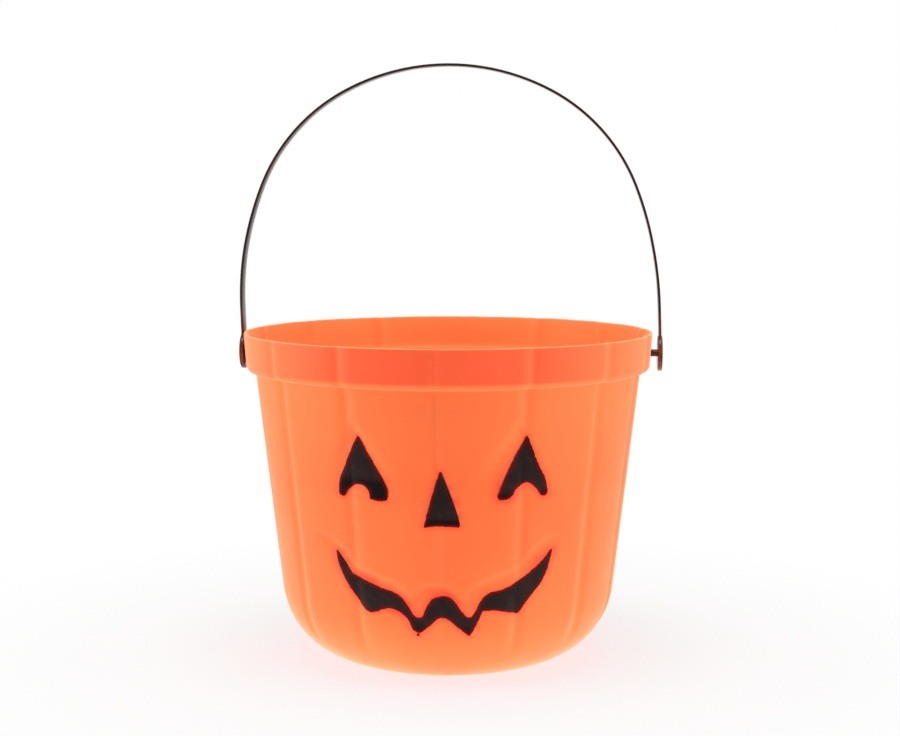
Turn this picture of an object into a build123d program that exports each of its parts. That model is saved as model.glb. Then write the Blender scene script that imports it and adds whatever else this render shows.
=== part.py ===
from build123d import *
import os
from math import asin, cos, degrees, radians, sin, sqrt, tan

# Pumpkin candy pail: a thin moulded tub with pumpkin lobes and a sunken face, a strap handle
# that snaps into two holes in the rim band, and four coats of black paint on the face.
# Millimetres, +Z up, origin at the middle of the base. The face looks along -Y.

# Tub outline
rim_height = 160.0
rim_radius = 100.0
band_height = 18.8
band_flare = 1.4
band_step = 4.4
band_edge_radius = 3.5
neck_fillet = 1.2
wall_draft = 6.65
corner_radius = 39.0
wall = 1.6
lip_radius = 0.6

# Grooves between the lobes, one of them down the middle of the face
lobe_count = 14
groove_depth = 0.75
groove_half_width = 7.0
groove_clear = 4.0
groove_fade_angle = 72.0
groove_fade_length = 14.0
first_groove = -90.0

# Black paint: outlines as (across, height) seen from the front, right half
paint = 0.2
paint_turn = 2.1
eye_apex = (38.0, 119.4)
eye_outer = (47.2, 95.0)
eye_outer_leg = (45.7, 91.3)
eye_notch_outer = (44.3, 92.8)
eye_notch_top = (38.0, 98.2)
eye_notch_inner = (32.4, 93.4)
eye_inner_leg = (30.6, 90.7)
eye_inner_leg_end = (25.2, 90.8)
eye_inner = (24.6, 93.6)
eye_inner_bow = (30.2, 105.6)
eye_round = 0.7
nose_apex = 104.6
nose_base = 78.8
nose_half_base = 7.9
nose_round = 0.8
mouth_tip = (49.6, 65.0)
mouth_upper_bow = (36.6, 52.6)
mouth_upper_end = (19.8, 46.1)
mouth_fang_outer = (12.8, 36.3)
mouth_fang_inner = (10.8, 36.3)
mouth_arch_start = (6.0, 42.7)
mouth_arch_top = (0.0, 46.1)
mouth_lower_bow = (44.6, 50.0)
mouth_lower_corner = (34.2, 37.3)
mouth_lower_end = (18.8, 39.4)
mouth_tooth_outer = (13.0, 28.3)
mouth_tooth_inner = (11.2, 28.3)
mouth_chin_start = (5.0, 32.4)
mouth_chin_top = (0.0, 35.9)
mouth_round = 0.6

# Sunken face: how far each recess stands out past the paint, and where its floor runs out
eye_inner_margin = 10.0
eye_outer_margin = 2.7
eye_over = 3.6
eye_run_out = 2.7
eye_floor_draft = 3.5
eye_ledge_rise = 2.0
nose_margin = 2.6
nose_over = 4.4
nose_run_out = 1.8
nose_floor_draft = 4.0
nose_ledge_rise = 2.5
mouth_margin = 4.0
mouth_over = 4.4
fang_over = 2.2
mouth_run_out = 1.9
mouth_floor_draft = 1.0
mouth_ledge_rise = 1.1
recess_reach = 12.0
recess_run = 12.0
recess_step = 4.0

# Strap handle: a crown, two tighter shoulders and two legs that straighten out towards the pivots
pivot_rise = 8.4
strap_width = 9.0
strap_thickness = 1.2
strap_edge = 0.4
crown_radius = 107.0
crown_half_angle = 28.0
shoulder_end_angle = 68.4
leg_bend_radius = 160.0
straight_leg = 22.1
end_disc_diameter = 17.4
end_disc_thickness = 2.1
end_disc_gap = 2.3
end_disc_edge = 0.4
stud_diameter = 3.5
stud_clearance = 0.08
stud_head_overhang = 0.75
stud_head_length = 3.4
stud_tip_diameter = 2.6
stud_end_play = 1.2

# Derived places
band_bottom = rim_height - band_height
band_low_radius = rim_radius - band_flare
band_slope = band_flare / band_height
neck_radius = band_low_radius - band_step
draft_tan = tan(radians(wall_draft))
draft_cos = cos(radians(wall_draft))
pivot_height = band_bottom + pivot_rise


def wall_radius(height, inset=0.0):
    return neck_radius - (band_bottom - height) * draft_tan - inset / draft_cos


def band_radius(height, inset=0.0):
    return band_low_radius + (height - band_bottom) * band_slope - inset


def groove_section():
    # Two shallow arcs that meet at the bottom of the groove, open to the outside
    flank_radius = (groove_half_width**2 + groove_depth**2) / (2 * groove_depth)
    middle = groove_half_width / 2
    sag = flank_radius - sqrt(flank_radius**2 - middle**2)
    with BuildSketch() as section:
        with BuildLine():
            right = ThreePointArc((0, -groove_depth), (middle, -sag), (groove_half_width, 0))
            left = ThreePointArc((0, -groove_depth), (-middle, -sag), (-groove_half_width, 0))
            over = [(x, groove_clear) for x in (groove_half_width, -groove_half_width)]
            Polyline(right @ 1, *over, left @ 1)
        make_face()
    return section.sketch


def wall_groove(inset):
    # Down the wall, round the bottom corner, then off along the tangent so that it fades out
    radius = corner_radius - inset
    start = -wall_draft
    start_height = corner_radius + radius * sin(radians(start))
    centre = Vector(wall_radius(start_height, inset) - radius * draft_cos, 0, corner_radius)

    def across(angle):
        outward = Vector(cos(radians(angle)), 0, sin(radians(angle)))
        along = Vector(sin(radians(angle)), 0, -cos(radians(angle)))
        return Plane(origin=centre + outward * radius, x_dir=(0, 1, 0), z_dir=along)

    with BuildPart() as groove:
        with BuildSketch(across(start)) as section:
            add(groove_section())
        extrude(amount=-(band_bottom + inset - start_height) / draft_cos)
        corner_axis = Axis(centre, (0, 1, 0))
        revolve(section.sketch, axis=corner_axis, revolution_arc=groove_fade_angle - wall_draft)
        with BuildSketch(across(-groove_fade_angle)):
            add(groove_section())
        extrude(amount=groove_fade_length)
    return groove.part


def band_groove(inset):
    # Straight down the rim band and out past its rounded lower edge
    foot = band_bottom - groove_clear
    top = rim_height + groove_clear
    lean = Vector(band_radius(top) - band_radius(foot), 0, top - foot)
    foot_plane = Plane(origin=(band_radius(foot, inset), 0, foot), x_dir=(0, 1, 0), z_dir=-lean)
    with BuildPart() as groove:
        with BuildSketch(foot_plane):
            add(groove_section())
        extrude(amount=-lean.length)
    return groove.part


def stations(corners):
    # A recess's corners as (angle, top, run-out), with more between them to follow the round wall
    path = [Vector(degrees(asin(across / wall_radius(top))), top, flush) for across, top, flush in corners]
    filled = []
    for start, end in zip(path, path[1:]):
        count = max(1, round((end.X - start.X) / recess_step))
        filled += [start + (end - start) * (k / count) for k in range(count)]
    return filled + [path[-1]]


def recess(corners, floor_draft, ledge_rise, inset):
    # Upright sections round the wall: a steep floor that runs out flush, under a sloping ledge
    floor_tan = tan(radians(floor_draft))
    with BuildPart() as pocket:
        for station in stations(corners):
            outward = Vector(sin(radians(station.X)), -cos(radians(station.X)), 0)
            low = station.Z - recess_run
            ledge = station.Y + inset * (sqrt(1 + ledge_rise**2) - ledge_rise)
            floor_low = wall_radius(station.Z) - recess_run * floor_tan - inset
            floor_top = floor_low + (ledge - low) * floor_tan
            upright = Plane(origin=(0, 0, 0), x_dir=outward, z_dir=outward.cross(Vector(0, 0, 1)))
            with BuildSketch(upright):
                with BuildLine():
                    Polyline(
                        (floor_low, low),
                        (floor_top, ledge),
                        (floor_top + recess_reach, ledge + recess_reach * ledge_rise),
                        (floor_low + recess_reach, low),
                        close=True,
                    )
                make_face()
        loft(ruled=True)
    return pocket.part


def eye_recess(inset):
    flush = eye_inner_leg[1] - eye_run_out
    corners = [
        (eye_inner[0] - eye_inner_margin, eye_inner[1], eye_inner[1] - eye_run_out),
        (eye_apex[0], eye_apex[1] + eye_over, flush),
        (eye_outer[0] + eye_outer_margin, eye_outer[1], eye_outer[1] - eye_run_out),
    ]
    return recess(corners, eye_floor_draft, eye_ledge_rise, inset)


def nose_recess(inset):
    flush = nose_base - nose_run_out
    side = nose_half_base + nose_margin
    corners = [(-side, nose_base, flush), (0, nose_apex + nose_over, flush), (side, nose_base, flush)]
    return recess(corners, nose_floor_draft, nose_ledge_rise, inset)


def mouth_recess(inset):
    chin = mouth_chin_top[1] - mouth_run_out
    fang = (mouth_fang_outer[0] + mouth_fang_inner[0]) / 2
    half = [
        (mouth_arch_start[0], mouth_arch_start[1] + mouth_over, chin),
        (fang, mouth_fang_outer[1] + fang_over, chin),
        (mouth_upper_end[0] - fang_over, mouth_upper_end[1] + mouth_over, mouth_lower_end[1] - mouth_over),
        (mouth_upper_bow[0], mouth_upper_bow[1] + mouth_over, mouth_lower_corner[1] + mouth_over),
        (mouth_tip[0] + mouth_margin, mouth_tip[1] + mouth_over, mouth_tip[1] + mouth_run_out),
    ]
    middle = (0, mouth_arch_top[1] + fang_over, chin)
    mirrored = [(-across, top, flush) for across, top, flush in reversed(half)]
    return recess(mirrored + [middle] + half, mouth_floor_draft, mouth_ledge_rise, inset)


def pail_form(inset):
    # The pail's outside as a solid form, moved inwards by the inset
    top = rim_height + inset
    ledge = band_bottom + inset
    bends = [corner_radius - inset, neck_fillet + inset, band_edge_radius - inset, lip_radius]
    right_eye = eye_recess(inset)
    left_eye = mirror(right_eye, about=Plane.YZ)
    with BuildPart() as form:
        with BuildSketch(Plane.XZ):
            with BuildLine():
                side = FilletPolyline(
                    (0, inset),
                    (wall_radius(inset, inset), inset),
                    (wall_radius(ledge, inset), ledge),
                    (band_radius(ledge, inset), ledge),
                    (band_radius(top, inset), top),
                    (0, top),
                    radius=bends,
                )
                Line(side @ 1, side @ 0)
            make_face()
        revolve(axis=Axis.Z)
        with PolarLocations(0, lobe_count, start_angle=first_groove):
            add(wall_groove(inset), mode=Mode.SUBTRACT)
        with PolarLocations(0, lobe_count, start_angle=first_groove):
            add(band_groove(inset), mode=Mode.SUBTRACT)
        for pocket in (left_eye, right_eye, nose_recess(inset), mouth_recess(inset)):
            add(pocket, mode=Mode.SUBTRACT)
    return form.part


def eye_outline():
    with BuildSketch() as eye:
        with BuildLine():
            Polyline(eye_apex, eye_outer, eye_outer_leg, eye_notch_outer)
            ThreePointArc(eye_notch_outer, eye_notch_top, eye_notch_inner)
            Polyline(eye_notch_inner, eye_inner_leg, eye_inner_leg_end, eye_inner)
            ThreePointArc(eye_inner, eye_inner_bow, eye_apex)
        make_face()
        fillet(eye.vertices(), radius=eye_round)
    return eye.sketch


def nose_outline():
    with BuildSketch() as nose:
        with BuildLine():
            base = [(nose_half_base, nose_base), (-nose_half_base, nose_base)]
            Polyline((0, nose_apex), *base, close=True)
        make_face()
        fillet(nose.vertices(), radius=nose_round)
    return nose.sketch


def mouth_outline():
    with BuildSketch() as mouth:
        with BuildLine():
            ThreePointArc(mouth_tip, mouth_upper_bow, mouth_upper_end)
            Polyline(mouth_upper_end, mouth_fang_outer, mouth_fang_inner, mouth_arch_start)
            TangentArc(mouth_arch_top, mouth_arch_start, tangent=(1, 0))
            ThreePointArc(mouth_tip, mouth_lower_bow, mouth_lower_corner)
            Polyline(mouth_lower_corner, mouth_lower_end, mouth_tooth_outer)
            Polyline(mouth_tooth_outer, mouth_tooth_inner, mouth_chin_start)
            TangentArc(mouth_chin_top, mouth_chin_start, tangent=(1, 0))
            mirror(about=Plane.YZ)
        make_face()
        off_centre = mouth.vertices().filter_by(lambda corner: abs(corner.X) > mouth_round)
        fillet(off_centre, radius=mouth_round)
    return mouth.sketch


os.makedirs("parts", exist_ok=True)

outside = pail_form(0)
inside = pail_form(wall)
painted_outside = pail_form(-paint)

# Tub: the outside form less the same form moved in by the wall, with a hole for each stud
with BuildPart() as pail_tub:
    add(outside)
    add(inside, mode=Mode.SUBTRACT)
    with BuildSketch(Plane.YZ):
        with Locations((0, pivot_height)):
            Circle(stud_diameter / 2 + stud_clearance)
    extrude(amount=rim_radius, both=True, mode=Mode.SUBTRACT)
pail_tub.part.label = "pail_tub"
export_step(pail_tub.part, "parts/pail_tub.step")

# Handle: a bent strap with a round end and a snap stud on each leg, all one moulding
end_disc_inner = band_radius(pivot_height) + end_disc_gap
end_disc_outer = end_disc_inner + end_disc_thickness
strap_middle = (end_disc_inner + end_disc_outer) / 2
crown_reach = crown_radius * sin(radians(crown_half_angle))
crown_drop = crown_radius * (1 - cos(radians(crown_half_angle)))
leg_reach = leg_bend_radius * (1 - sin(radians(shoulder_end_angle)))
leg_drop = leg_bend_radius * cos(radians(shoulder_end_angle))
shoulder_turn = sin(radians(shoulder_end_angle)) - sin(radians(crown_half_angle))
shoulder_radius = (strap_middle - crown_reach - leg_reach) / shoulder_turn
shoulder_fall = cos(radians(crown_half_angle)) - cos(radians(shoulder_end_angle))
shoulder_drop = shoulder_radius * shoulder_fall
crown_height = pivot_height + straight_leg + leg_drop + shoulder_drop + crown_drop
stud_radius = stud_diameter / 2
head_radius = stud_radius + stud_head_overhang
head_back = band_radius(pivot_height - head_radius, wall) - stud_end_play
head_tip = head_back - stud_head_length

with BuildPart() as carry_handle:
    with BuildLine(Plane.XZ):
        crown = JernArc((0, crown_height), (1, 0), crown_radius, -crown_half_angle)
        shoulder = JernArc(crown @ 1, crown % 1, shoulder_radius, crown_half_angle - shoulder_end_angle)
        leg = JernArc(shoulder @ 1, shoulder % 1, leg_bend_radius, shoulder_end_angle - 90)
        Line(leg @ 1, (strap_middle, pivot_height))
    with BuildSketch(Plane(origin=(0, 0, crown_height), x_dir=(0, 1, 0), z_dir=(1, 0, 0))):
        RectangleRounded(strap_width, strap_thickness, strap_edge)
    sweep()
    with BuildSketch(Plane.XZ):
        with BuildLine():
            Polyline(
                (end_disc_outer, pivot_height),
                (end_disc_outer, pivot_height + end_disc_diameter / 2),
                (end_disc_inner, pivot_height + end_disc_diameter / 2),
                (end_disc_inner, pivot_height + stud_radius),
                (head_back, pivot_height + stud_radius),
                (head_back, pivot_height + head_radius),
                (head_tip, pivot_height + stud_tip_diameter / 2),
                (head_tip, pivot_height),
                close=True,
            )
        make_face()
    revolve(axis=Axis((0, 0, pivot_height), (1, 0, 0)))
    fillet(carry_handle.faces().sort_by(Axis.X)[-1].edges(), radius=end_disc_edge)
    mirror(about=Plane.YZ)
carry_handle.part.label = "carry_handle"
export_step(carry_handle.part, "parts/carry_handle.step")

# Paint: each outline is printed, a little to one side, on the floor, ledge or wall below it
print_plane = Plane.XZ.rotated((0, paint_turn, 0))
eye = eye_outline()
coats = {
    "left_eye_paint": mirror(eye, about=Plane.YZ),
    "right_eye_paint": eye,
    "nose_paint": nose_outline(),
    "mouth_paint": mouth_outline(),
}
for name, outline in coats.items():
    with BuildPart() as coat:
        with BuildSketch(print_plane):
            add(outline)
        extrude(amount=rim_radius)
        add(painted_outside, mode=Mode.INTERSECT)
        add(outside, mode=Mode.SUBTRACT)
    coat.part.label = name
    export_step(coat.part, f"parts/{name}.step")

print(f"pivot height {pivot_height:.2f}, strap crown {crown_height:.2f}, shoulder radius {shoulder_radius:.2f}")
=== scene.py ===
import math

import bpy
import numpy as np
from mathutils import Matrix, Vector
from mathutils.kdtree import KDTree


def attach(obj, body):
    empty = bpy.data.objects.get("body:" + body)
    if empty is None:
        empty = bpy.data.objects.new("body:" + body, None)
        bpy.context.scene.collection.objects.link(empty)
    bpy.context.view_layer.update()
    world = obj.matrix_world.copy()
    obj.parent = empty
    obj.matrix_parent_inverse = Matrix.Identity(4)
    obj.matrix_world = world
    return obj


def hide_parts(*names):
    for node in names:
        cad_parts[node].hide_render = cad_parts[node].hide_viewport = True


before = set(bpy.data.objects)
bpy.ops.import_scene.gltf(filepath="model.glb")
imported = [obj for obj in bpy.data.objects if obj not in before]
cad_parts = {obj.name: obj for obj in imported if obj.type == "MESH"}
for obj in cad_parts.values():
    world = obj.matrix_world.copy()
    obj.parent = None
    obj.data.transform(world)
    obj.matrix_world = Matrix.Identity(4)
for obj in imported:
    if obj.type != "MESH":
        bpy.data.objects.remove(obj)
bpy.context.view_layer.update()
mm = 0.001  # sizes below are in millimetres, meshes are in metres
weldGap = 0.01  # vertices closer than this become one
smoothAngle = math.radians(40)  # faces that meet at less than this shade as one
print("frame loaded:", sorted(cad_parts))


def clearSelection():
    if bpy.context.object and bpy.context.object.mode != "OBJECT":
        bpy.ops.object.mode_set(mode="OBJECT")
    bpy.ops.object.select_all(action="DESELECT")


def activate(piece):
    clearSelection()
    piece.select_set(True)
    bpy.context.view_layer.objects.active = piece


def selectBy(kind):
    # what edit mode selects: VERT, EDGE or FACE
    bpy.context.tool_settings.mesh_select_mode = [kind == each for each in ("VERT", "EDGE", "FACE")]


def startVertex(name, place):
    # a small plane merged to one vertex, which later calls extrude
    clearSelection()
    bpy.ops.mesh.primitive_plane_add(size=mm)
    piece = bpy.context.object
    piece.name = piece.data.name = name
    selectBy("VERT")
    bpy.ops.object.mode_set(mode="EDIT")
    bpy.ops.mesh.merge(type="CENTER")
    bpy.ops.transform.translate(value=place)
    return piece


def extrudeAlong(points):
    for here, there in zip(points, points[1:]):
        step = Vector(there) - Vector(here)
        bpy.ops.mesh.extrude_vertices_move(TRANSFORM_OT_translate={"value": step})


def mergeDoubles(gap=weldGap):
    bpy.ops.mesh.select_all(action="SELECT")
    bpy.ops.mesh.remove_doubles(threshold=gap * mm)


def faceOutwards():
    # the last step in edit mode
    bpy.ops.mesh.select_all(action="SELECT")
    bpy.ops.mesh.normals_make_consistent(inside=False)
    bpy.ops.object.mode_set(mode="OBJECT")


def shadeSmooth(piece):
    activate(piece)
    bpy.ops.object.shade_smooth_by_angle(angle=smoothAngle)


def applyModifier(piece, kind, **settings):
    activate(piece)
    modifier = piece.modifiers.new(kind.lower(), kind)
    for key, value in settings.items():
        setattr(modifier, key, value)
    bpy.ops.object.modifier_apply(modifier=modifier.name)


def combineWith(piece, other, operation):
    # the other object is used up
    applyModifier(piece, "BOOLEAN", object=other, operation=operation, solver="EXACT")
    bpy.data.objects.remove(other)


def readVectors(items, key):
    flat = np.empty(len(items) * 3)
    items.foreach_get(key, flat)
    return flat.reshape(-1, 3)


def readPoints(mesh):
    return readVectors(mesh.vertices, "co") / mm


def writePoints(mesh, points):
    mesh.vertices.foreach_set("co", (points * mm).ravel())
    mesh.update()


def storeValues(mesh, name, values):
    mesh.attributes.new(name, "FLOAT", "POINT").data.foreach_set("value", values)


def smoothMin(a, b, blend):
    # the smaller of two values, with the corner between them rounded off
    share = np.clip(blend - np.abs(a - b), 0, None) / blend
    return np.minimum(a, b) - share * share * blend / 4


def smoothStep(value, low, high):
    share = np.clip((value - low) / (high - low), 0, 1)
    return share * share * (3 - 2 * share)


def fadeOut(distance, reach):
    return np.exp(-((distance / reach) ** 2))


# Tub: one moulded shell, spun from its section and then pressed in along the grooves and the face
tub = {
    "rimHeight": 160.0,
    "rimRadius": 100.0,
    "bandBottom": 141.2,
    "bandLowRadius": 98.6,
    "neckRadius": 94.2,
    "wallDraft": math.radians(6.65),
    "cornerRadius": 39.0,
    "bandEdge": 3.5,
    "neckFillet": 1.2,
    "lip": 0.6,
    "wall": 1.6,
    "lobes": 14,
    "fineLobes": 4,  # lobes round the face that get the finer mesh
    "fineSteps": 44,
    "coarseSteps": 18,
    "grooveDepth": 1.2,
    "grooveHalfWidth": 7.0,
    "grooveSoft": 0.35,
    "grooveFade": (12.0, 26.0),  # heights between which a groove comes up out of the bottom corner
    "grooveBlend": 0.08,
    "grooveCrowd": 0.5,  # how far the mesh closes up along a groove
    "creaseHighlightWidth": 1.5,  # half the width of the painted highlight along a groove
    "middleCreaseHighlight": 0.3,  # how much of that painted highlight is left in the groove down the face
    "recessBlend": 0.45,
    "faceClear": 2.0,  # bare wall between the face and the band
    "rimWave": 0.15,  # the rim's edge is a little uneven, as it is trimmed by hand
    "rimWaves": [(9, 0.6), (23, 2.1), (57, 0.0), (91, 1.3)],  # waves round the rim, where each starts
    "rimTrim": 1.5,  # how far down from the rim they reach
}
draftTan = math.tan(tub["wallDraft"])
draftCos = math.cos(tub["wallDraft"])

# Sunken face: what is drawn is one eye of the pair, the whole nose and the right half of the mouth.
# Corners: across, height where the floor meets the ledge over it, height where the floor runs out
recesses = {
    "eye": {
        "drawn": "pair",
        "floorDraft": 3.5,
        "ledgeRise": 2.0,
        "corners": [(14.6, 93.6, 90.9), (38.0, 123.0, 88.0), (49.9, 95.0, 92.3)],
    },
    "nose": {
        "drawn": "whole",
        "floorDraft": 4.0,
        "ledgeRise": 2.5,
        "corners": [(-10.5, 78.8, 77.0), (0.0, 109.0, 77.0), (10.5, 78.8, 77.0)],
    },
    "mouth": {
        "drawn": "half",
        "floorDraft": 1.0,
        "ledgeRise": 1.1,
        "corners": [
            (0.0, 51.0, 34.0),
            (5.0, 50.2, 34.0),
            (12.0, 44.0, 34.0),
            (17.2, 50.0, 35.0),
            (36.6, 57.0, 41.7),
            (44.0, 65.0, 50.0),
            (49.0, 69.8, 57.0),
            (55.0, 71.5, 63.0),
        ],
    },
}


def wallRadius(height):
    return tub["neckRadius"] - (tub["bandBottom"] - height) * draftTan


def roundedRun(corners):
    # corners as (radius, height, fillet, arc steps, steps to the next corner) to a list of points
    points = [Vector(corner[:2]) for corner in corners]
    arcs = []
    for k, here in enumerate(points):
        fillet, steps = corners[k][2:4]
        if not fillet:
            arcs.append([here])
            continue
        before = (points[k - 1] - here).normalized()
        after = (points[k + 1] - here).normalized()
        half = before.angle(after) / 2
        centre = here + (before + after).normalized() * (fillet / math.sin(half))
        start = here + before * (fillet / math.tan(half)) - centre
        turn = math.pi - 2 * half
        if before.x * after.y - before.y * after.x > 0:
            turn = -turn
        arcs.append([])
        for j in range(steps + 1):
            c, s = math.cos(turn * j / steps), math.sin(turn * j / steps)
            arcs[-1].append(centre + Vector((start.x * c - start.y * s, start.x * s + start.y * c)))
    line = []
    for k, arc in enumerate(arcs):
        line += arc
        if k + 1 < len(arcs):
            gap = arcs[k + 1][0] - arc[-1]
            steps = corners[k][4]
            line += [arc[-1] + gap * (j / steps) for j in range(1, steps)]
    return line


def tubSection():
    # the outside from the middle of the base up to the rim, then the inside back down
    wall = tub["wall"]
    inset = wall / draftCos
    ledge = tub["bandBottom"] + wall
    slope = (tub["rimRadius"] - tub["bandLowRadius"]) / (tub["rimHeight"] - tub["bandBottom"])
    innerLow = tub["bandLowRadius"] - wall + slope * wall
    rows = roundedRun([
        (0, 0, 0, 0, 6),
        (wallRadius(0), 0, tub["cornerRadius"], 44, 100),
        (tub["neckRadius"], tub["bandBottom"], tub["neckFillet"], 4, 1),
        (tub["bandLowRadius"], tub["bandBottom"], tub["bandEdge"], 8, 10),
        (tub["rimRadius"], tub["rimHeight"], tub["lip"], 4, 1),
        (tub["rimRadius"] - wall, tub["rimHeight"], tub["lip"], 4, 6),
        (innerLow, ledge, tub["bandEdge"] - wall, 5, 1),
        (wallRadius(ledge) - inset, ledge, tub["neckFillet"] + wall, 5, 38),
        (wallRadius(wall) - inset, wall, tub["cornerRadius"] - wall, 18, 5),
        (0, wall, 0, 0, 0),
    ])
    atRim = tub["rimHeight"] - 1e-6  # less a rounding error
    firstInside = 1 + max(k for k, p in enumerate(rows) if p.y > atRim)
    return rows, firstInside


def grooveDrop(radius, height, angle):
    # how deep the grooves are at each point, and how much of the painted highlight along them shows there
    half, depth, soft = tub["grooveHalfWidth"], tub["grooveDepth"], tub["grooveSoft"]
    pitch = 2 * math.pi / tub["lobes"]
    offset = angle - pitch * np.round(angle / pitch)
    across = radius * np.sin(offset)
    fromLine = np.sqrt(across**2 + soft**2) - soft / 2
    # two convex flanks meet along the bottom line
    flank = (half**2 + depth**2) / (2 * depth)
    run = np.clip(half - fromLine, 0, None)
    grooved = (radius - flank + np.sqrt(flank**2 - run**2)) / np.cos(offset)
    grooved = np.where(fromLine < half, grooved, radius + 1)
    fade = smoothStep(height, *tub["grooveFade"])
    drop = (radius - smoothMin(radius, grooved, tub["grooveBlend"])) * fade
    creaseHighlight = fadeOut(across, tub["creaseHighlightWidth"]) * fade
    creaseHighlight *= np.interp(np.abs(angle), [0, 2 * pitch], [tub["middleCreaseHighlight"], 1])
    return drop, creaseHighlight


def outwardOf(section, firstInside):
    # outward direction of each row of the section, so that a groove turns with the bottom corner
    along = np.gradient(section, axis=0)
    along /= np.linalg.norm(along, axis=1)[:, None]
    sign = np.where(np.arange(len(section)) < firstInside, 1, -1)
    level = section[:, 1] > tub["bandBottom"] - 2 * tub["neckFillet"]
    return np.where(level, 1, along[:, 1] * sign), np.where(level, 0, -along[:, 0] * sign)


def recessRadius(shape, angle, height):
    # how far out the floor and the ledge of one recess stand, and further out beside it
    across, tops, feet = zip(*shape["corners"])
    stations = [math.asin(x / wallRadius(top)) for x, top in zip(across, tops)]
    top = np.interp(angle, stations, tops)
    foot = np.interp(angle, stations, feet)
    floorTan = math.tan(math.radians(shape["floorDraft"]))
    floor = wallRadius(foot) + (np.minimum(height, top) - foot) * floorTan
    ledge = np.clip(height - top, 0, None) / shape["ledgeRise"]
    beside = np.clip(np.maximum(stations[0] - angle, angle - stations[-1]), 0, None)
    return floor + ledge + beside * wallRadius(foot)


def sinkFace(radius, height, angle, inset):
    face = (height > tub["wall"]) & (height < tub["bandBottom"] - tub["faceClear"])
    sides = {"pair": [angle, -angle], "whole": [angle], "half": [np.abs(angle)]}
    for shape in recesses.values():
        for side in sides[shape["drawn"]]:
            pressed = recessRadius(shape, side, height) - inset
            radius = np.where(face, smoothMin(radius, pressed, tub["recessBlend"]), radius)
    return radius


def rimDrop(height, angle):
    waves = tub["rimWaves"]
    wave = sum(np.sin(count * angle + start) for count, start in waves) / len(waves)
    nearRim = smoothStep(height, tub["rimHeight"] - tub["rimTrim"], tub["rimHeight"])
    return tub["rimWave"] * (1 + wave) * nearRim


def pressTub(mesh, rows, firstInside):
    # every point of the spun shell goes in along the grooves, the face and the rim's edge
    points = readPoints(mesh)
    row = np.empty(len(points), np.int32)
    mesh.attributes["sectionRow"].data.foreach_get("value", row)
    section = np.array(rows)
    radius, height = section[row, 0], section[row, 1]
    inner = row >= firstInside
    inset = np.where(inner, tub["wall"] / draftCos, 0.0)
    angle = np.arctan2(points[:, 0], -points[:, 1])
    angle -= tub["grooveCrowd"] / tub["lobes"] * np.sin(tub["lobes"] * angle)

    drop, creaseHighlight = grooveDrop(radius, height - np.where(inner, tub["wall"], 0), angle)
    outRadius, outHeight = outwardOf(section, firstInside)
    grooved = radius - drop * outRadius[row]
    pressed = sinkFace(grooved, height, angle, inset)
    newHeight = height - drop * outHeight[row] - rimDrop(height, angle)
    writePoints(mesh, np.stack([pressed * np.sin(angle), -pressed * np.cos(angle), newHeight], axis=1))
    # the painted highlight along a groove fades where the face is pressed in deeper
    creaseHighlight *= np.clip(1 - (grooved - pressed) / tub["grooveDepth"], 0, 1)
    storeValues(mesh, "innerSide", inner.astype(float))
    storeValues(mesh, "paintedCreaseHighlight", creaseHighlight)


def makeTub():
    rows, firstInside = tubSection()
    pitch = 2 * math.pi / tub["lobes"]
    coarseLobes = tub["lobes"] - tub["fineLobes"]
    start = -pitch * tub["fineLobes"] / 2
    chain = [(p.x * math.sin(start) * mm, -p.x * math.cos(start) * mm, p.y * mm) for p in rows]
    piece = startVertex("pumpkinTub", chain[0])
    extrudeAlong(chain)
    bpy.ops.object.mode_set(mode="OBJECT")
    label = piece.data.attributes.new("sectionRow", "INT", "POINT")
    label.data.foreach_set("value", np.arange(len(rows), dtype=np.int32))
    bpy.ops.object.mode_set(mode="EDIT")
    bpy.ops.mesh.select_all(action="SELECT")
    for lobes, steps in ((tub["fineLobes"], tub["fineSteps"]), (coarseLobes, tub["coarseSteps"])):
        bpy.ops.mesh.spin(steps=lobes * steps, angle=pitch * lobes, center=(0, 0, 0), axis=(0, 0, 1))
    mergeDoubles()
    faceOutwards()
    pressTub(piece.data, rows, firstInside)
    shadeSmooth(piece)
    print("tub:", len(piece.data.vertices), "vertices,", len(piece.data.polygons), "faces")
    return piece


pumpkinTub = makeTub()


# Face paint: sprayed from the front past a stencil onto whatever lies behind it
paint = {
    "film": 0.2,
    "near": -120.0,  # an outline is drawn in front of the tub and carried back through its wall
    "far": -20.0,
    "margin": 3.0,  # room round an outline that its film and mist may need
    "weld": 0.005,
    "dotSides": 16,
    "curveSteps": 18,
    "roundings": 2,  # passes that wear the stencil's corners round
    "wander": [(7.3, 0.04), (3.1, 0.04), (1.3, 0.05), (0.7, 0.05)],  # pitch and size of an edge's waves
    "grow": 0.25,  # how far paint creeps under the stencil
    "thin": 0.85,  # how far in from the edge the coat is thin
    "mistReach": (1.1, 2.9),  # overspray where the stencil lay close and where it stood off
    "mistShare": (0.6, 0.85),
    # where the stencil stood off the wall, so that more paint got past its edge: across, height, reach
    "standOff": [
        (30.0, 99.0, 12.0),
        (9.0, 91.0, 10.0),
        (-42.0, 61.0, 6.0),
        (46.0, 62.0, 6.0),
        (-14.5, 39.0, 7.0),
        (1.0, 47.0, 9.0),
        (-32.0, 51.5, 9.0),
    ],
}
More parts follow.
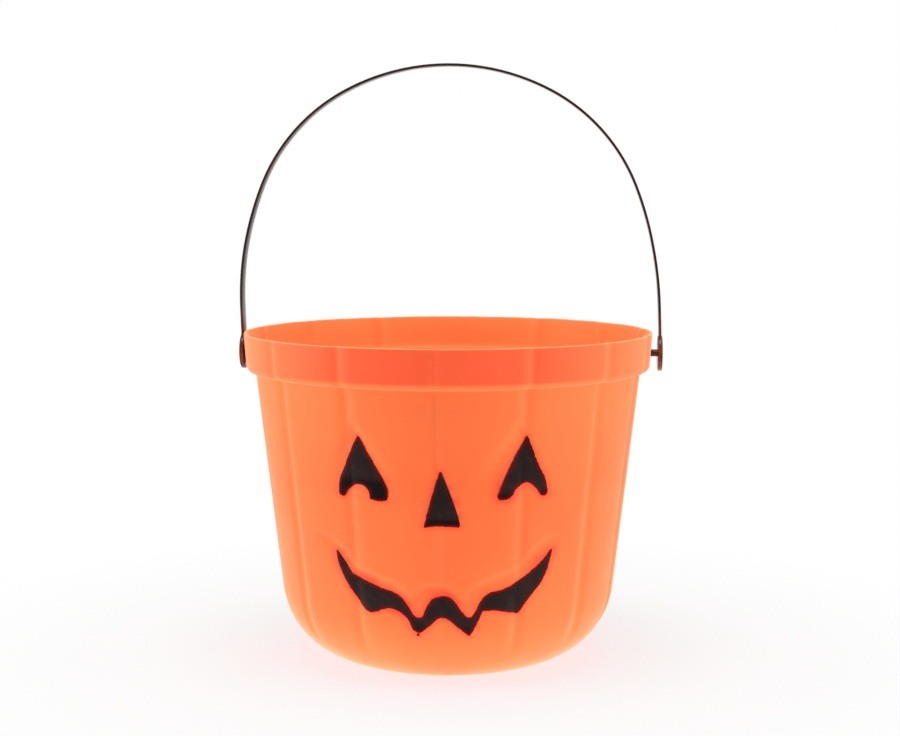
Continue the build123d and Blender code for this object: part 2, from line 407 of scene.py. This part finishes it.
# Outlines seen from the front, as (across, height, whether it is a corner). Below the two heights given
# for each coat it is painted darker, painted shade, and a drip is a dot of (across, height, radius)
faceCoats = {
    "leftEyePaint": {
        "node": "left_eye_paint",
        "outline": [
            (-35.1, 119.4, True),
            (-38.0, 113.4, False),
            (-41.3, 105.0, False),
            (-44.3, 96.0, False),
            (-43.0, 91.0, False),
            (-39.5, 94.6, False),
            (-34.9, 97.3, False),
            (-30.6, 94.9, False),
            (-29.4, 90.8, True),
            (-25.7, 90.0, False),
            (-21.9, 90.6, True),
            (-21.3, 94.0, False),
            (-22.4, 97.3, False),
            (-28.8, 108.4, False),
        ],
        "lowShadeHeights": (97.5, 101.5),
    },
    "rightEyePaint": {
        "node": "right_eye_paint",
        "outline": [
            (40.8, 120.0, True),
            (45.5, 106.7, False),
            (49.3, 97.1, False),
            (48.6, 91.7, False),
            (44.4, 96.1, False),
            (40.5, 98.4, False),
            (36.7, 96.4, False),
            (33.5, 92.1, False),
            (30.6, 90.9, False),
            (28.2, 91.5, False),
            (28.5, 94.3, False),
            (30.7, 99.8, False),
            (34.5, 108.2, False),
        ],
        "lowShadeHeights": (91.5, 96.0),
    },
    "nosePaint": {
        "node": "nose_paint",
        "outline": [
            (2.6, 105.4, True),
            (5.1, 96.3, True),
            (7.9, 92.8, True),
            (11.6, 78.8, True),
            (2.4, 79.3, False),
            (-5.1, 78.7, True),
            (-0.9, 94.1, False),
        ],
        "lowShadeHeights": (81.0, 83.0),
    },
    "mouthPaint": {
        "node": "mouth_paint",
        "outline": [
            (-46.9, 65.2, True),
            (-41.3, 58.4, True),
            (-39.6, 54.6, True),
            (-32.6, 51.5, False),
            (-25.3, 48.8, False),
            (-17.0, 45.8, False),
            (-13.9, 42.3, False),
            (-7.8, 35.9, False),
            (-3.4, 42.5, False),
            (-0.6, 45.2, False),
            (2.9, 46.1, False),
            (6.3, 45.3, False),
            (11.8, 38.6, False),
            (14.9, 36.0, False),
            (18.0, 39.2, False),
            (20.1, 43.3, False),
            (23.2, 46.6, False),
            (31.0, 48.8, False),
            (40.2, 54.2, False),
            (49.0, 61.6, True),
            (52.4, 66.9, True),
            (48.3, 53.0, False),
            (41.0, 43.0, False),
            (36.6, 36.8, True),
            (26.2, 39.2, False),
            (20.8, 39.1, True),
            (17.8, 32.3, False),
            (14.9, 27.2, True),
            (10.8, 30.9, False),
            (2.6, 36.3, False),
            (-3.8, 31.7, False),
            (-8.6, 29.0, False),
            (-13.5, 36.0, False),
            (-20.8, 39.9, False),
            (-31.3, 37.4, False),
            (-36.1, 42.7, False),
            (-44.6, 56.2, False),
        ],
        "drip": (-8.3, 27.8, 0.75),
        "lowShadeHeights": (29.5, 34.5),
    },
}


def outlineMesh(name, outline):
    # a closed flat curve, straight into corners and smooth elsewhere, made a mesh loop
    curve = bpy.data.curves.new(name, "CURVE")
    curve.dimensions = "3D"
    curve.resolution_u = paint["curveSteps"]
    spline = curve.splines.new("BEZIER")
    spline.bezier_points.add(len(outline) - 1)
    spline.use_cyclic_u = True
    for point, (across, height, corner) in zip(spline.bezier_points, outline):
        point.co = (across * mm, paint["near"] * mm, height * mm)
        point.handle_left_type = point.handle_right_type = "VECTOR" if corner else "AUTO"
    mask = bpy.data.objects.new(name, curve)
    bpy.context.scene.collection.objects.link(mask)
    activate(mask)
    bpy.ops.object.convert(target="MESH")
    return bpy.context.object


def wearEdge(mask):
    # corners rounded off and the line a little uneven, as sprayed past a stencil
    points = readPoints(mask.data)
    for k in range(paint["roundings"]):
        points = (np.roll(points, 1, axis=0) + 2 * points + np.roll(points, -1, axis=0)) / 4
    steps = np.roll(points, -1, axis=0) - points
    lengths = np.linalg.norm(steps, axis=1)
    run = np.cumsum(lengths)
    across = np.stack([-steps[:, 2], steps[:, 0]], axis=1) / lengths[:, None]
    turning = np.sum(points[:, 0] * steps[:, 2] - points[:, 2] * steps[:, 0])
    points[:, [0, 2]] -= math.copysign(paint["grow"], turning) * across
    for pitch, size in paint["wander"]:
        waves = round(run[-1] / pitch)
        phase = 2 * math.pi * waves * run / run[-1] + pitch
        points[:, [0, 2]] += size * across * np.sin(phase)[:, None]
    writePoints(mask.data, points)


def addDrip(mask, across, height, radius):
    clearSelection()
    bpy.ops.mesh.primitive_circle_add(
        vertices=paint["dotSides"],
        radius=radius * mm,
        location=(across * mm, paint["near"] * mm, height * mm),
        rotation=(math.pi / 2, 0, 0),
    )
    mask.select_set(True)
    bpy.context.view_layer.objects.active = mask
    bpy.ops.object.join()


def sprayMask(name, coat):
    # the outline filled and drawn back through the wall
    mask = outlineMesh(name + ".mask", coat["outline"])
    wearEdge(mask)
    if "drip" in coat:
        addDrip(mask, *coat["drip"])
    loop = readPoints(mask.data)
    activate(mask)
    selectBy("VERT")
    bpy.ops.object.mode_set(mode="EDIT")
    mergeDoubles(paint["weld"])
    bpy.ops.mesh.edge_face_add()
    depth = (paint["far"] - paint["near"]) * mm
    bpy.ops.mesh.extrude_region_move(TRANSFORM_OT_translate={"value": (0, depth, 0)})
    faceOutwards()
    return mask, loop


def distanceFrom(loop, points):
    # how far each point lies from an outline, seen from the front
    tree = KDTree(len(loop))
    for k, (x, y, z) in enumerate(loop):
        tree.insert((x, 0, z), k)
    tree.balance()
    return np.array([tree.find((x, 0, z))[2] for x, y, z in points])


def behindOutline(loop, points):
    # which points lie in the front half, within the box round an outline
    seen = points[:, [0, 2]]
    low = loop.min(axis=0)[[0, 2]] - paint["margin"]
    high = loop.max(axis=0)[[0, 2]] + paint["margin"]
    return (seen > low).all(axis=1) & (seen < high).all(axis=1) & (points[:, 1] < 0)


def keepPatch(film, loop):
    # only the tub's outer side near the outline stays, with a finer mesh
    faces = film.data.polygons
    centres, normals = readVectors(faces, "center") / mm, readVectors(faces, "normal")
    outer = (centres * normals)[:, :2].sum(axis=1) > 0
    faces.foreach_set("select", ~(outer & behindOutline(loop, centres)))
    selectBy("FACE")
    bpy.ops.object.mode_set(mode="EDIT")
    bpy.ops.mesh.delete(type="FACE")
    bpy.ops.mesh.select_all(action="SELECT")
    bpy.ops.mesh.subdivide(number_cuts=1)
    bpy.ops.object.mode_set(mode="OBJECT")


def makeCoat(name, coat):
    mask, loop = sprayMask(name, coat)
    activate(pumpkinTub)
    bpy.ops.object.duplicate()
    film = bpy.context.object
    film.name = film.data.name = name
    keepPatch(film, loop)
    applyModifier(film, "SOLIDIFY", thickness=paint["film"] * mm, offset=1.0, use_even_offset=True)
    combineWith(film, mask, "INTERSECT")
    shadeSmooth(film)
    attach(film, "tub")
    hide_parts(coat["node"])
    points = readPoints(film.data)
    storeValues(film.data, "thinCoat", fadeOut(distanceFrom(loop, points), paint["thin"]))
    # painted shade: the coat is darker below its given heights
    storeValues(film.data, "paintedLowShade", 1 - smoothStep(points[:, 2], *coat["lowShadeHeights"]))
    print(name + ":", len(film.data.polygons), "faces")
    return film, loop


coats = {name: makeCoat(name, coat) for name, coat in faceCoats.items()}

# the tub stands for its node only now, so that the coats, which start as copies of it, don't
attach(pumpkinTub, "tub")
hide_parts("pail_tub")


# Handle: a bent strap with a round end and a snap stud on each leg, one moulding
handle = {
    "pivotHeight": 149.6,
    "halfSpan": 102.58,
    "straightLeg": 22.1,
    "straightSteps": 6,
    "legRadius": 160.0,
    "legSteps": 14,
    "shoulderEnd": math.radians(68.4),  # where shoulder and crown end, as angles down from the top
    "shoulderSteps": 26,
    "crownEnd": math.radians(28.0),
    "crownRadius": 107.0,
    "crownSteps": 12,
    "width": 9.0,
    "thickness": 1.2,
    "edge": 0.35,
    "edgeSegments": 3,
    "edgeAngle": math.radians(40),
    "discRadius": 8.7,
    "discThickness": 2.1,
    "discEdge": 0.4,
    "discBow": 0.3,  # how far in from the corner a rounded edge passes, as a share of its size
    "studRadius": 1.75,
    "headBack": 96.24,
    "headRadius": 2.5,
    "headLength": 3.4,
    "tipRadius": 1.3,
    "endSteps": 64,
    "sidePlay": 1.15,  # the strap is pushed to one side as far as its studs let it go
    "playFade": 45.0,  # height over which the legs lean back
    "playCurve": 1.5,
}


def strapLine():
    # middle line of the strap's right half, from the pivot up to the crown
    h = handle
    legReach = h["legRadius"] * (1 - math.sin(h["shoulderEnd"]))
    crownReach = h["crownRadius"] * math.sin(h["crownEnd"])
    shoulderTurn = math.sin(h["shoulderEnd"]) - math.sin(h["crownEnd"])
    shoulderRadius = (h["halfSpan"] - legReach - crownReach) / shoulderTurn
    bends = [
        (h["legRadius"], math.pi / 2, h["shoulderEnd"], h["legSteps"]),
        (shoulderRadius, h["shoulderEnd"], h["crownEnd"], h["shoulderSteps"]),
        (h["crownRadius"], h["crownEnd"], 0, h["crownSteps"]),
    ]
    points = []
    for k in range(h["straightSteps"] + 1):
        points.append((h["halfSpan"], h["pivotHeight"] + h["straightLeg"] * k / h["straightSteps"]))
    for radius, start, end, steps in bends:
        across, height = points[-1]
        for k in range(1, steps + 1):
            turn = start + (end - start) * k / steps
            reach = radius * (math.sin(turn) - math.sin(start))
            points.append((across + reach, height + radius * (math.cos(turn) - math.cos(start))))
    return points


def makeStrap():
    right = strapLine()
    line = right + [(-x, z) for x, z in reversed(right[:-1])]
    chain = [(x * mm, -handle["width"] / 2 * mm, z * mm) for x, z in line]
    strap = startVertex("carryHandle", chain[0])
    extrudeAlong(chain)
    bpy.ops.mesh.select_all(action="SELECT")
    bpy.ops.mesh.extrude_region_move(TRANSFORM_OT_translate={"value": (0, handle["width"] * mm, 0)})
    faceOutwards()
    applyModifier(strap, "SOLIDIFY", thickness=handle["thickness"] * mm, offset=0.0, use_even_offset=True)
    applyModifier(
        strap,
        "BEVEL",
        width=handle["edge"] * mm,
        segments=handle["edgeSegments"],
        limit_method="ANGLE",
        angle_limit=handle["edgeAngle"],
    )
    return strap


def makeEnd(side):
    # disc and stud turned about the pivot axis, from the disc's outer face in to the stud's tip
    h = handle
    inner = h["halfSpan"] - h["discThickness"] / 2
    outer = h["halfSpan"] + h["discThickness"] / 2
    tip = h["headBack"] - h["headLength"]
    rim, edge = h["discRadius"], h["discEdge"]
    bow = edge * h["discBow"]
    profile = [
        (outer, 0),
        (outer, rim - edge),
        (outer - bow, rim - bow),
        (outer - edge, rim),
        (inner + edge, rim),
        (inner + bow, rim - bow),
        (inner, rim - edge),
        (inner, h["studRadius"]),
        (h["headBack"], h["studRadius"]),
        (h["headBack"], h["headRadius"]),
        (tip, h["tipRadius"]),
        (tip, 0),
    ]
    chain = [(side * x * mm, 0, (h["pivotHeight"] + rise) * mm) for x, rise in profile]
    end = startVertex("handleEnd", chain[0])
    extrudeAlong(chain)
    bpy.ops.mesh.select_all(action="SELECT")
    pivot = (0, 0, h["pivotHeight"] * mm)
    bpy.ops.mesh.spin(steps=h["endSteps"], angle=2 * math.pi, center=pivot, axis=(1, 0, 0))
    mergeDoubles()
    faceOutwards()
    return end


def makeHandle():
    strap = makeStrap()
    for side in (1, -1):
        combineWith(strap, makeEnd(side), "UNION")
    points = readPoints(strap.data)
    aboveDisc = points[:, 2] - handle["pivotHeight"] - handle["discRadius"]
    lean = 1 - np.clip(aboveDisc / handle["playFade"], 0, 1)
    points[:, 0] += handle["sidePlay"] * lean ** handle["playCurve"]
    writePoints(strap.data, points)
    shadeSmooth(strap)
    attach(strap, "handle")
    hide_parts("carry_handle")
    print("handle:", len(strap.data.polygons), "faces")
    return strap


carryHandle = makeHandle()


# A hole for each stud through the band
studHole = {"clearance": 0.08, "sides": 32}


def cutStudHoles():
    # one drill goes through both sides of the tub
    clearSelection()
    bpy.ops.mesh.primitive_cylinder_add(
        vertices=studHole["sides"],
        radius=(handle["studRadius"] + studHole["clearance"]) * mm,
        depth=3 * tub["rimRadius"] * mm,
        location=(0, 0, handle["pivotHeight"] * mm),
        rotation=(0, math.pi / 2, 0),
    )
    combineWith(pumpkinTub, bpy.context.object, "DIFFERENCE")
    shadeSmooth(pumpkinTub)
    print("stud holes cut:", len(pumpkinTub.data.polygons), "faces")


cutStudHoles()


def markOverspray():
    # a mist of paint on the plastic beside each outline
    points = readPoints(pumpkinTub.data)
    inner = np.empty(len(points))
    pumpkinTub.data.attributes["innerSide"].data.foreach_get("value", inner)
    mist = np.zeros(len(points))
    for film, loop in coats.values():
        near = np.where(behindOutline(loop, points) & (inner < 0.5))[0]
        heavy = np.zeros(len(near))
        for across, height, reach in paint["standOff"]:
            apart = np.hypot(points[near, 0] - across, points[near, 2] - height)
            heavy = np.maximum(heavy, fadeOut(apart, reach))
        reach = np.interp(heavy, [0, 1], paint["mistReach"])
        share = np.interp(heavy, [0, 1], paint["mistShare"])
        mist[near] = np.maximum(mist[near], share * fadeOut(distanceFrom(loop, points[near]), reach))
    storeValues(pumpkinTub.data, "overspray", mist)
    print("overspray marked on", int((mist > 0).sum()), "points")


markOverspray()


# Materials
def newMaterial(name):
    material = bpy.data.materials.new(name)
    material.use_nodes = True
    return material, material.node_tree, material.node_tree.nodes["Principled BSDF"]


def placeAxes(tree, kind="Object"):
    place = tree.nodes.new("ShaderNodeTexCoord")
    axes = tree.nodes.new("ShaderNodeSeparateXYZ")
    tree.links.new(place.outputs[kind], axes.inputs[0])
    return axes.outputs


def attribute(tree, name):
    stored = tree.nodes.new("ShaderNodeAttribute")
    stored.attribute_name = name
    return stored.outputs["Fac"]


def combine(tree, operation, first, second=None, clamp=False):
    result = tree.nodes.new("ShaderNodeMath")
    result.operation = operation
    result.use_clamp = clamp
    tree.links.new(first, result.inputs[0])
    if second is not None:
        tree.links.new(second, result.inputs[1])
    return result.outputs[0]


def spread(tree, value, window, gives=(0, 1)):
    # the part of a value's range that matters, spread over what it gives
    ranged = tree.nodes.new("ShaderNodeMapRange")
    ranged.inputs["From Min"].default_value, ranged.inputs["From Max"].default_value = window
    ranged.inputs["To Min"].default_value, ranged.inputs["To Max"].default_value = gives
    tree.links.new(value, ranged.inputs["Value"])
    return ranged.outputs["Result"]


def spreadOver(tree, value, span, gives=(0, 1)):
    # as spread, for a length in millimetres
    return spread(tree, value, [end * mm for end in span], gives)


def noiseOn(tree, scale, detail, roughness=0.5):
    place = tree.nodes.new("ShaderNodeTexCoord")
    noise = tree.nodes.new("ShaderNodeTexNoise")
    noise.inputs["Scale"].default_value = scale
    noise.inputs["Detail"].default_value = detail
    noise.inputs["Roughness"].default_value = roughness
    tree.links.new(place.outputs["Object"], noise.inputs["Vector"])
    return noise.outputs["Fac"]


def patches(tree, window, gives, **noise):
    return spread(tree, noiseOn(tree, **noise), window, gives)


def colourMix(tree, share, first, second):
    mix = tree.nodes.new("ShaderNodeMix")
    mix.data_type = "RGBA"
    tree.links.new(share, mix.inputs["Factor"])
    for socket, colour in ((mix.inputs[6], first), (mix.inputs[7], second)):
        if hasattr(colour, "node"):
            tree.links.new(colour, socket)
        else:
            socket.default_value = (*colour, 1)
    return mix.outputs[2]


def shaderMix(tree, share, first, second, output):
    mix = tree.nodes.new("ShaderNodeMixShader")
    tree.links.new(share, mix.inputs["Fac"])
    tree.links.new(first.outputs[0], mix.inputs[1])
    tree.links.new(second.outputs[0], mix.inputs[2])
    tree.links.new(mix.outputs[0], tree.nodes[output].inputs["Surface"])


def finishSurface(tree, shader, colour, finish):
    # colour, gloss and a fine grain
    tree.links.new(colour, shader.inputs["Base Color"])
    tree.links.new(patches(tree, **finish["gloss"]), shader.inputs["Roughness"])
    shader.inputs["Specular IOR Level"].default_value = finish["specular"]
    bump = tree.nodes.new("ShaderNodeBump")
    bump.inputs["Strength"].default_value = 1.0
    bump.inputs["Distance"].default_value = finish["grainDepth"] * mm
    tree.links.new(noiseOn(tree, **finish["grain"]), bump.inputs["Height"])
    tree.links.new(bump.outputs["Normal"], shader.inputs["Normal"])


plastic = {
    "wall": (0.98, 0.157, 0.047),
    "wallDeep": (0.96, 0.141, 0.042),
    "mottle": {"scale": 28, "detail": 4, "window": (0.3, 0.7), "gives": (0, 1)},
    # painted light: the upper wall is painted paler
    "wallTopPaintedLight": (0.98, 0.182, 0.055),
    "topStart": (95.0, 136.0),  # heights between which the wall is painted a little paler, painted light
    # painted light: a paler strip painted under the band, where light from below catches its lower edge
    "neckPaintedLight": (0.985, 0.172, 0.054),
    "neckStart": (138.5, 142.5),
    # painted shade: the band is painted darker than the wall
    "band": (0.98, 0.122, 0.046),
    "bandDeep": (0.96, 0.110, 0.041),
    "bandStart": (143.2, 144.4),
    "bandSidePaintedLight": (0.98, 0.185, 0.062),
    "sideStart": (50.0, 98.0),  # the band is painted paler from its front to its sides, painted light
    # painted light: the inside is painted paler than the outside, for light let through the wall
    "inside": (0.98, 0.265, 0.080),
    "insidePaintedShade": (0.96, 0.150, 0.045),
    "insideStart": (142.6, 144.4),  # below the step the inside is painted deeper, painted shade
    "edge": (1.0, 0.28, 0.11),
    "lipStart": (159.4, 159.8),  # the rim's top edge is painted paler, a painted highlight
    # painted highlight: a pale line painted along the bottom of each groove
    "creaseHighlight": (1.0, 0.24, 0.09),
    "creaseHighlightShare": 0.52,
    "misted": (0.97, 0.030, 0.024),
    "speckle": {"scale": 90, "detail": 4, "roughness": 0.6, "window": (0.35, 0.65), "gives": (0.55, 1.0)},
    "sheen": 0.42,  # thin plastic glows where it is seen edge on
    "sheenRoughness": 0.35,
    "sheenTint": (1.0, 0.72, 0.45),
    "gloss": {"scale": 60, "detail": 3, "window": (0.3, 0.7), "gives": (0.46, 0.58)},
    "specular": 0.06,
    "grain": {"scale": 700, "detail": 2},
    "grainDepth": 0.04,
}


def orangePlastic():
    p = plastic
    material, tree, shader = newMaterial("orangePlastic")
    axes = placeAxes(tree)
    height = axes["Z"]
    mottle = patches(tree, **p["mottle"])
    # painted shade on the band, and painted light making it paler towards its sides
    bandShadeAndLight = colourMix(tree, mottle, p["band"], p["bandDeep"])
    atSide = spreadOver(tree, combine(tree, "ABSOLUTE", axes["X"]), p["sideStart"])
    bandShadeAndLight = colourMix(tree, atSide, bandShadeAndLight, p["bandSidePaintedLight"])
    wallTone = colourMix(tree, mottle, p["wall"], p["wallDeep"])
    # painted light: the upper wall painted paler
    wallTone = colourMix(tree, spreadOver(tree, height, p["topStart"]), wallTone, p["wallTopPaintedLight"])
    # painted light: a paler strip painted under the band
    wallTone = colourMix(tree, spreadOver(tree, height, p["neckStart"]), wallTone, p["neckPaintedLight"])
    body = colourMix(tree, spreadOver(tree, height, p["bandStart"]), wallTone, bandShadeAndLight)
    # painted highlight along the grooves
    onCreaseHighlight = spread(tree, attribute(tree, "paintedCreaseHighlight"), (0, 1), (0, p["creaseHighlightShare"]))
    body = colourMix(tree, onCreaseHighlight, body, p["creaseHighlight"])
    # painted light on the inside, and painted shade below the step
    insideLightAndShade = colourMix(tree, spreadOver(tree, height, p["insideStart"]), p["insidePaintedShade"], p["inside"])
    body = colourMix(tree, attribute(tree, "innerSide"), body, insideLightAndShade)
    # painted highlight along the rim's top edge
    body = colourMix(tree, spreadOver(tree, height, p["lipStart"]), body, p["edge"])
    misted = combine(tree, "MULTIPLY", attribute(tree, "overspray"), patches(tree, **p["speckle"]))
    finishSurface(tree, shader, colourMix(tree, misted, body, p["misted"]), p)
    shader.inputs["Sheen Weight"].default_value = p["sheen"]
    shader.inputs["Sheen Roughness"].default_value = p["sheenRoughness"]
    shader.inputs["Sheen Tint"].default_value = (*p["sheenTint"], 1)
    return material


blackPaint = {
    "dark": (0.013, 0.007, 0.006),
    "brown": (0.026, 0.012, 0.010),
    "streaks": {"scale": 160, "detail": 5, "roughness": 0.6, "window": (0.45, 0.75), "gives": (0, 1)},
    # painted shade on the lower part of each coat
    "paintedLowShade": (0.003, 0.0012, 0.001),
    "thin": (0.11, 0.002, 0.0015),
    "patchy": {"scale": 500, "detail": 3, "window": (0.3, 0.7), "gives": (0.75, 1.1)},
    "bare": (0.70, 0.018, 0.013),
    "bareStart": (0.8, 1.0),  # how thin the coat is where the plastic shows through
    "gloss": {"scale": 300, "detail": 3, "window": (0.3, 0.7), "gives": (0.45, 0.62)},
    "specular": 0.06,
    "grain": {"scale": 1400, "detail": 3},
    "grainDepth": 0.06,
}


def facePaint():
    p = blackPaint
    material, tree, shader = newMaterial("facePaint")
    coat = colourMix(tree, patches(tree, **p["streaks"]), p["dark"], p["brown"])
    # painted shade on the lower part of each coat
    coat = colourMix(tree, attribute(tree, "paintedLowShade"), coat, p["paintedLowShade"])
    patchy = patches(tree, **p["patchy"])
    thin = combine(tree, "MULTIPLY", attribute(tree, "thinCoat"), patchy, clamp=True)
    coat = colourMix(tree, thin, coat, p["thin"])
    finishSurface(tree, shader, colourMix(tree, spread(tree, thin, p["bareStart"]), coat, p["bare"]), p)
    return material


strapTone = {
    "dark": (0.014, 0.0045, 0.0035),
    "brown": (0.030, 0.010, 0.007),
    "flow": {"scale": 45, "detail": 4, "window": (0.3, 0.7), "gives": (0, 1)},
    "orangeBounce": (0.17, 0.036, 0.014),
    "bounceFade": (160.0, 176.0),  # painted light: the strap's lower ends are painted redder, a painted reflection and glow of the orange tub's light
    "streaks": {"scale": 170, "detail": 3, "window": (0.38, 0.62), "gives": (0.15, 0.95)},
    "gloss": {"scale": 120, "detail": 3, "window": (0.3, 0.7), "gives": (0.08, 0.15)},
    "specular": 0.16,
    "grain": {"scale": 900, "detail": 2},
    "grainDepth": 0.01,
}


def strapPlastic():
    p = strapTone
    material, tree, shader = newMaterial("strapPlastic")
    tone = colourMix(tree, patches(tree, **p["flow"]), p["dark"], p["brown"])
    # painted light: the orange tub's light painted onto the strap's lower ends
    nearEnd = spreadOver(tree, placeAxes(tree)["Z"], p["bounceFade"], gives=(1, 0))
    bounceShare = combine(tree, "MULTIPLY", nearEnd, patches(tree, **p["streaks"]))
    finishSurface(tree, shader, colourMix(tree, bounceShare, tone, p["orangeBounce"]), p)
    return material


pumpkinTub.data.materials.append(orangePlastic())
carryHandle.data.materials.append(strapPlastic())
black = facePaint()
for film, loop in coats.values():
    film.data.materials.append(black)
print("materials set:", len(bpy.data.materials))


# Floor, light and camera, in metres
studio = {
    "floorSize": 6.0,
    "floorWhite": 0.5,
    "floorRoughness": 0.9,
    "floorGlow": (1.7, 0.35),  # the floor is lit from below like a light table, most under the pail
    "glowReach": (0.10, 0.26),
    "shadowShare": 0.25,  # how much of the shaded floor shows close to the pail
    "shadowReach": (0.08, 0.30),
    "roomLight": (0.22, 0.58),  # in front of the pail, and beside and behind it
    "roomTurn": (-0.9, 0.1),  # where the one goes over into the other, as the Y of a direction
    "boxes": [
        {"name": "leftBox", "place": (-1.08, -0.19, 0.25), "size": (0.45, 0.5), "power": 8.2},
        {"name": "rightBox", "place": (1.08, -0.19, 0.25), "size": (0.45, 0.5), "power": 7.1},
        {"name": "topBox", "place": (0.0, -0.2, 1.25), "size": (0.7, 0.7), "power": 14.0},
    ],
    "aim": (0.0, 0.0, 0.11),
    "cameraPlace": (0.05584, -0.84415, 0.22875),
    "cameraTilt": 84.11,
    "cameraTurn": 3.72,
    "sensor": 36.0,  # this and the lens in millimetres
    "lens": 68.94,
}


def makeFloor():
    clearSelection()
    bpy.ops.mesh.primitive_plane_add(size=studio["floorSize"])
    floor = bpy.context.object
    floor.name = "floor"
    material, tree, shader = newMaterial("paleFloor")
    shader.inputs["Base Color"].default_value = (*[studio["floorWhite"]] * 3, 1)
    shader.inputs["Roughness"].default_value = studio["floorRoughness"]
    shader.inputs["Emission Color"].default_value = (1, 1, 1, 1)
    place = tree.nodes.new("ShaderNodeTexCoord")
    apart = tree.nodes.new("ShaderNodeVectorMath")
    apart.operation = "LENGTH"
    tree.links.new(place.outputs["Object"], apart.inputs[0])
    distance = apart.outputs["Value"]
    # the glow lights the pail, and the camera sees plain white with some of the pail's shadow
    seen = tree.nodes.new("ShaderNodeLightPath").outputs["Is Camera Ray"]
    unseen = spread(tree, seen, (0, 1), (1, 0))
    bright = spread(tree, distance, studio["glowReach"], studio["floorGlow"])
    tree.links.new(combine(tree, "MULTIPLY", bright, unseen), shader.inputs["Emission Strength"])
    clear = spread(tree, distance, studio["shadowReach"], (1 - studio["shadowShare"], 1))
    white = tree.nodes.new("ShaderNodeEmission")
    shaderMix(tree, combine(tree, "MULTIPLY", seen, clear), shader, white, "Material Output")
    floor.data.materials.append(material)


def makeWorld():
    # a soft room, brighter behind and beside the pail than in front of it, and plain white to look at
    world = bpy.data.worlds.new("paleStudio")
    bpy.context.scene.world = world
    world.use_nodes = True
    tree = world.node_tree
    room = tree.nodes["Background"]
    white = tree.nodes.new("ShaderNodeBackground")
    for light in (room, white):
        light.inputs["Color"].default_value = (1, 1, 1, 1)
    white.inputs["Strength"].default_value = 1.0
    level = spread(tree, placeAxes(tree, "Generated")["Y"], studio["roomTurn"], studio["roomLight"])
    tree.links.new(level, room.inputs["Strength"])
    rays = tree.nodes.new("ShaderNodeLightPath").outputs
    seen = combine(tree, "MAXIMUM", rays["Is Camera Ray"], rays["Is Glossy Ray"])
    seen = combine(tree, "MAXIMUM", seen, rays["Is Transmission Ray"])
    shaderMix(tree, seen, room, white, "World Output")


def makeBoxes():
    for box in studio["boxes"]:
        clearSelection()
        toward = Vector(studio["aim"]) - Vector(box["place"])
        turn = toward.to_track_quat("-Z", "Y").to_euler()
        bpy.ops.object.light_add(type="AREA", location=box["place"], rotation=turn)
        lamp = bpy.context.object
        lamp.name = box["name"]
        lamp.data.shape = "RECTANGLE"
        lamp.data.size, lamp.data.size_y = box["size"]
        lamp.data.energy = box["power"]


def makeCamera():
    data = bpy.data.cameras.new("photoCamera")
    camera = bpy.data.objects.new("photoCamera", data)
    bpy.context.scene.collection.objects.link(camera)
    camera.location = studio["cameraPlace"]
    camera.rotation_euler = (math.radians(studio["cameraTilt"]), 0, math.radians(studio["cameraTurn"]))
    data.sensor_width = studio["sensor"]
    data.lens = studio["lens"]
    bpy.context.scene.camera = camera


makeFloor()
makeWorld()
makeBoxes()
makeCamera()
bpy.context.scene.view_settings.view_transform = "Standard"
print("floor, light and camera set")
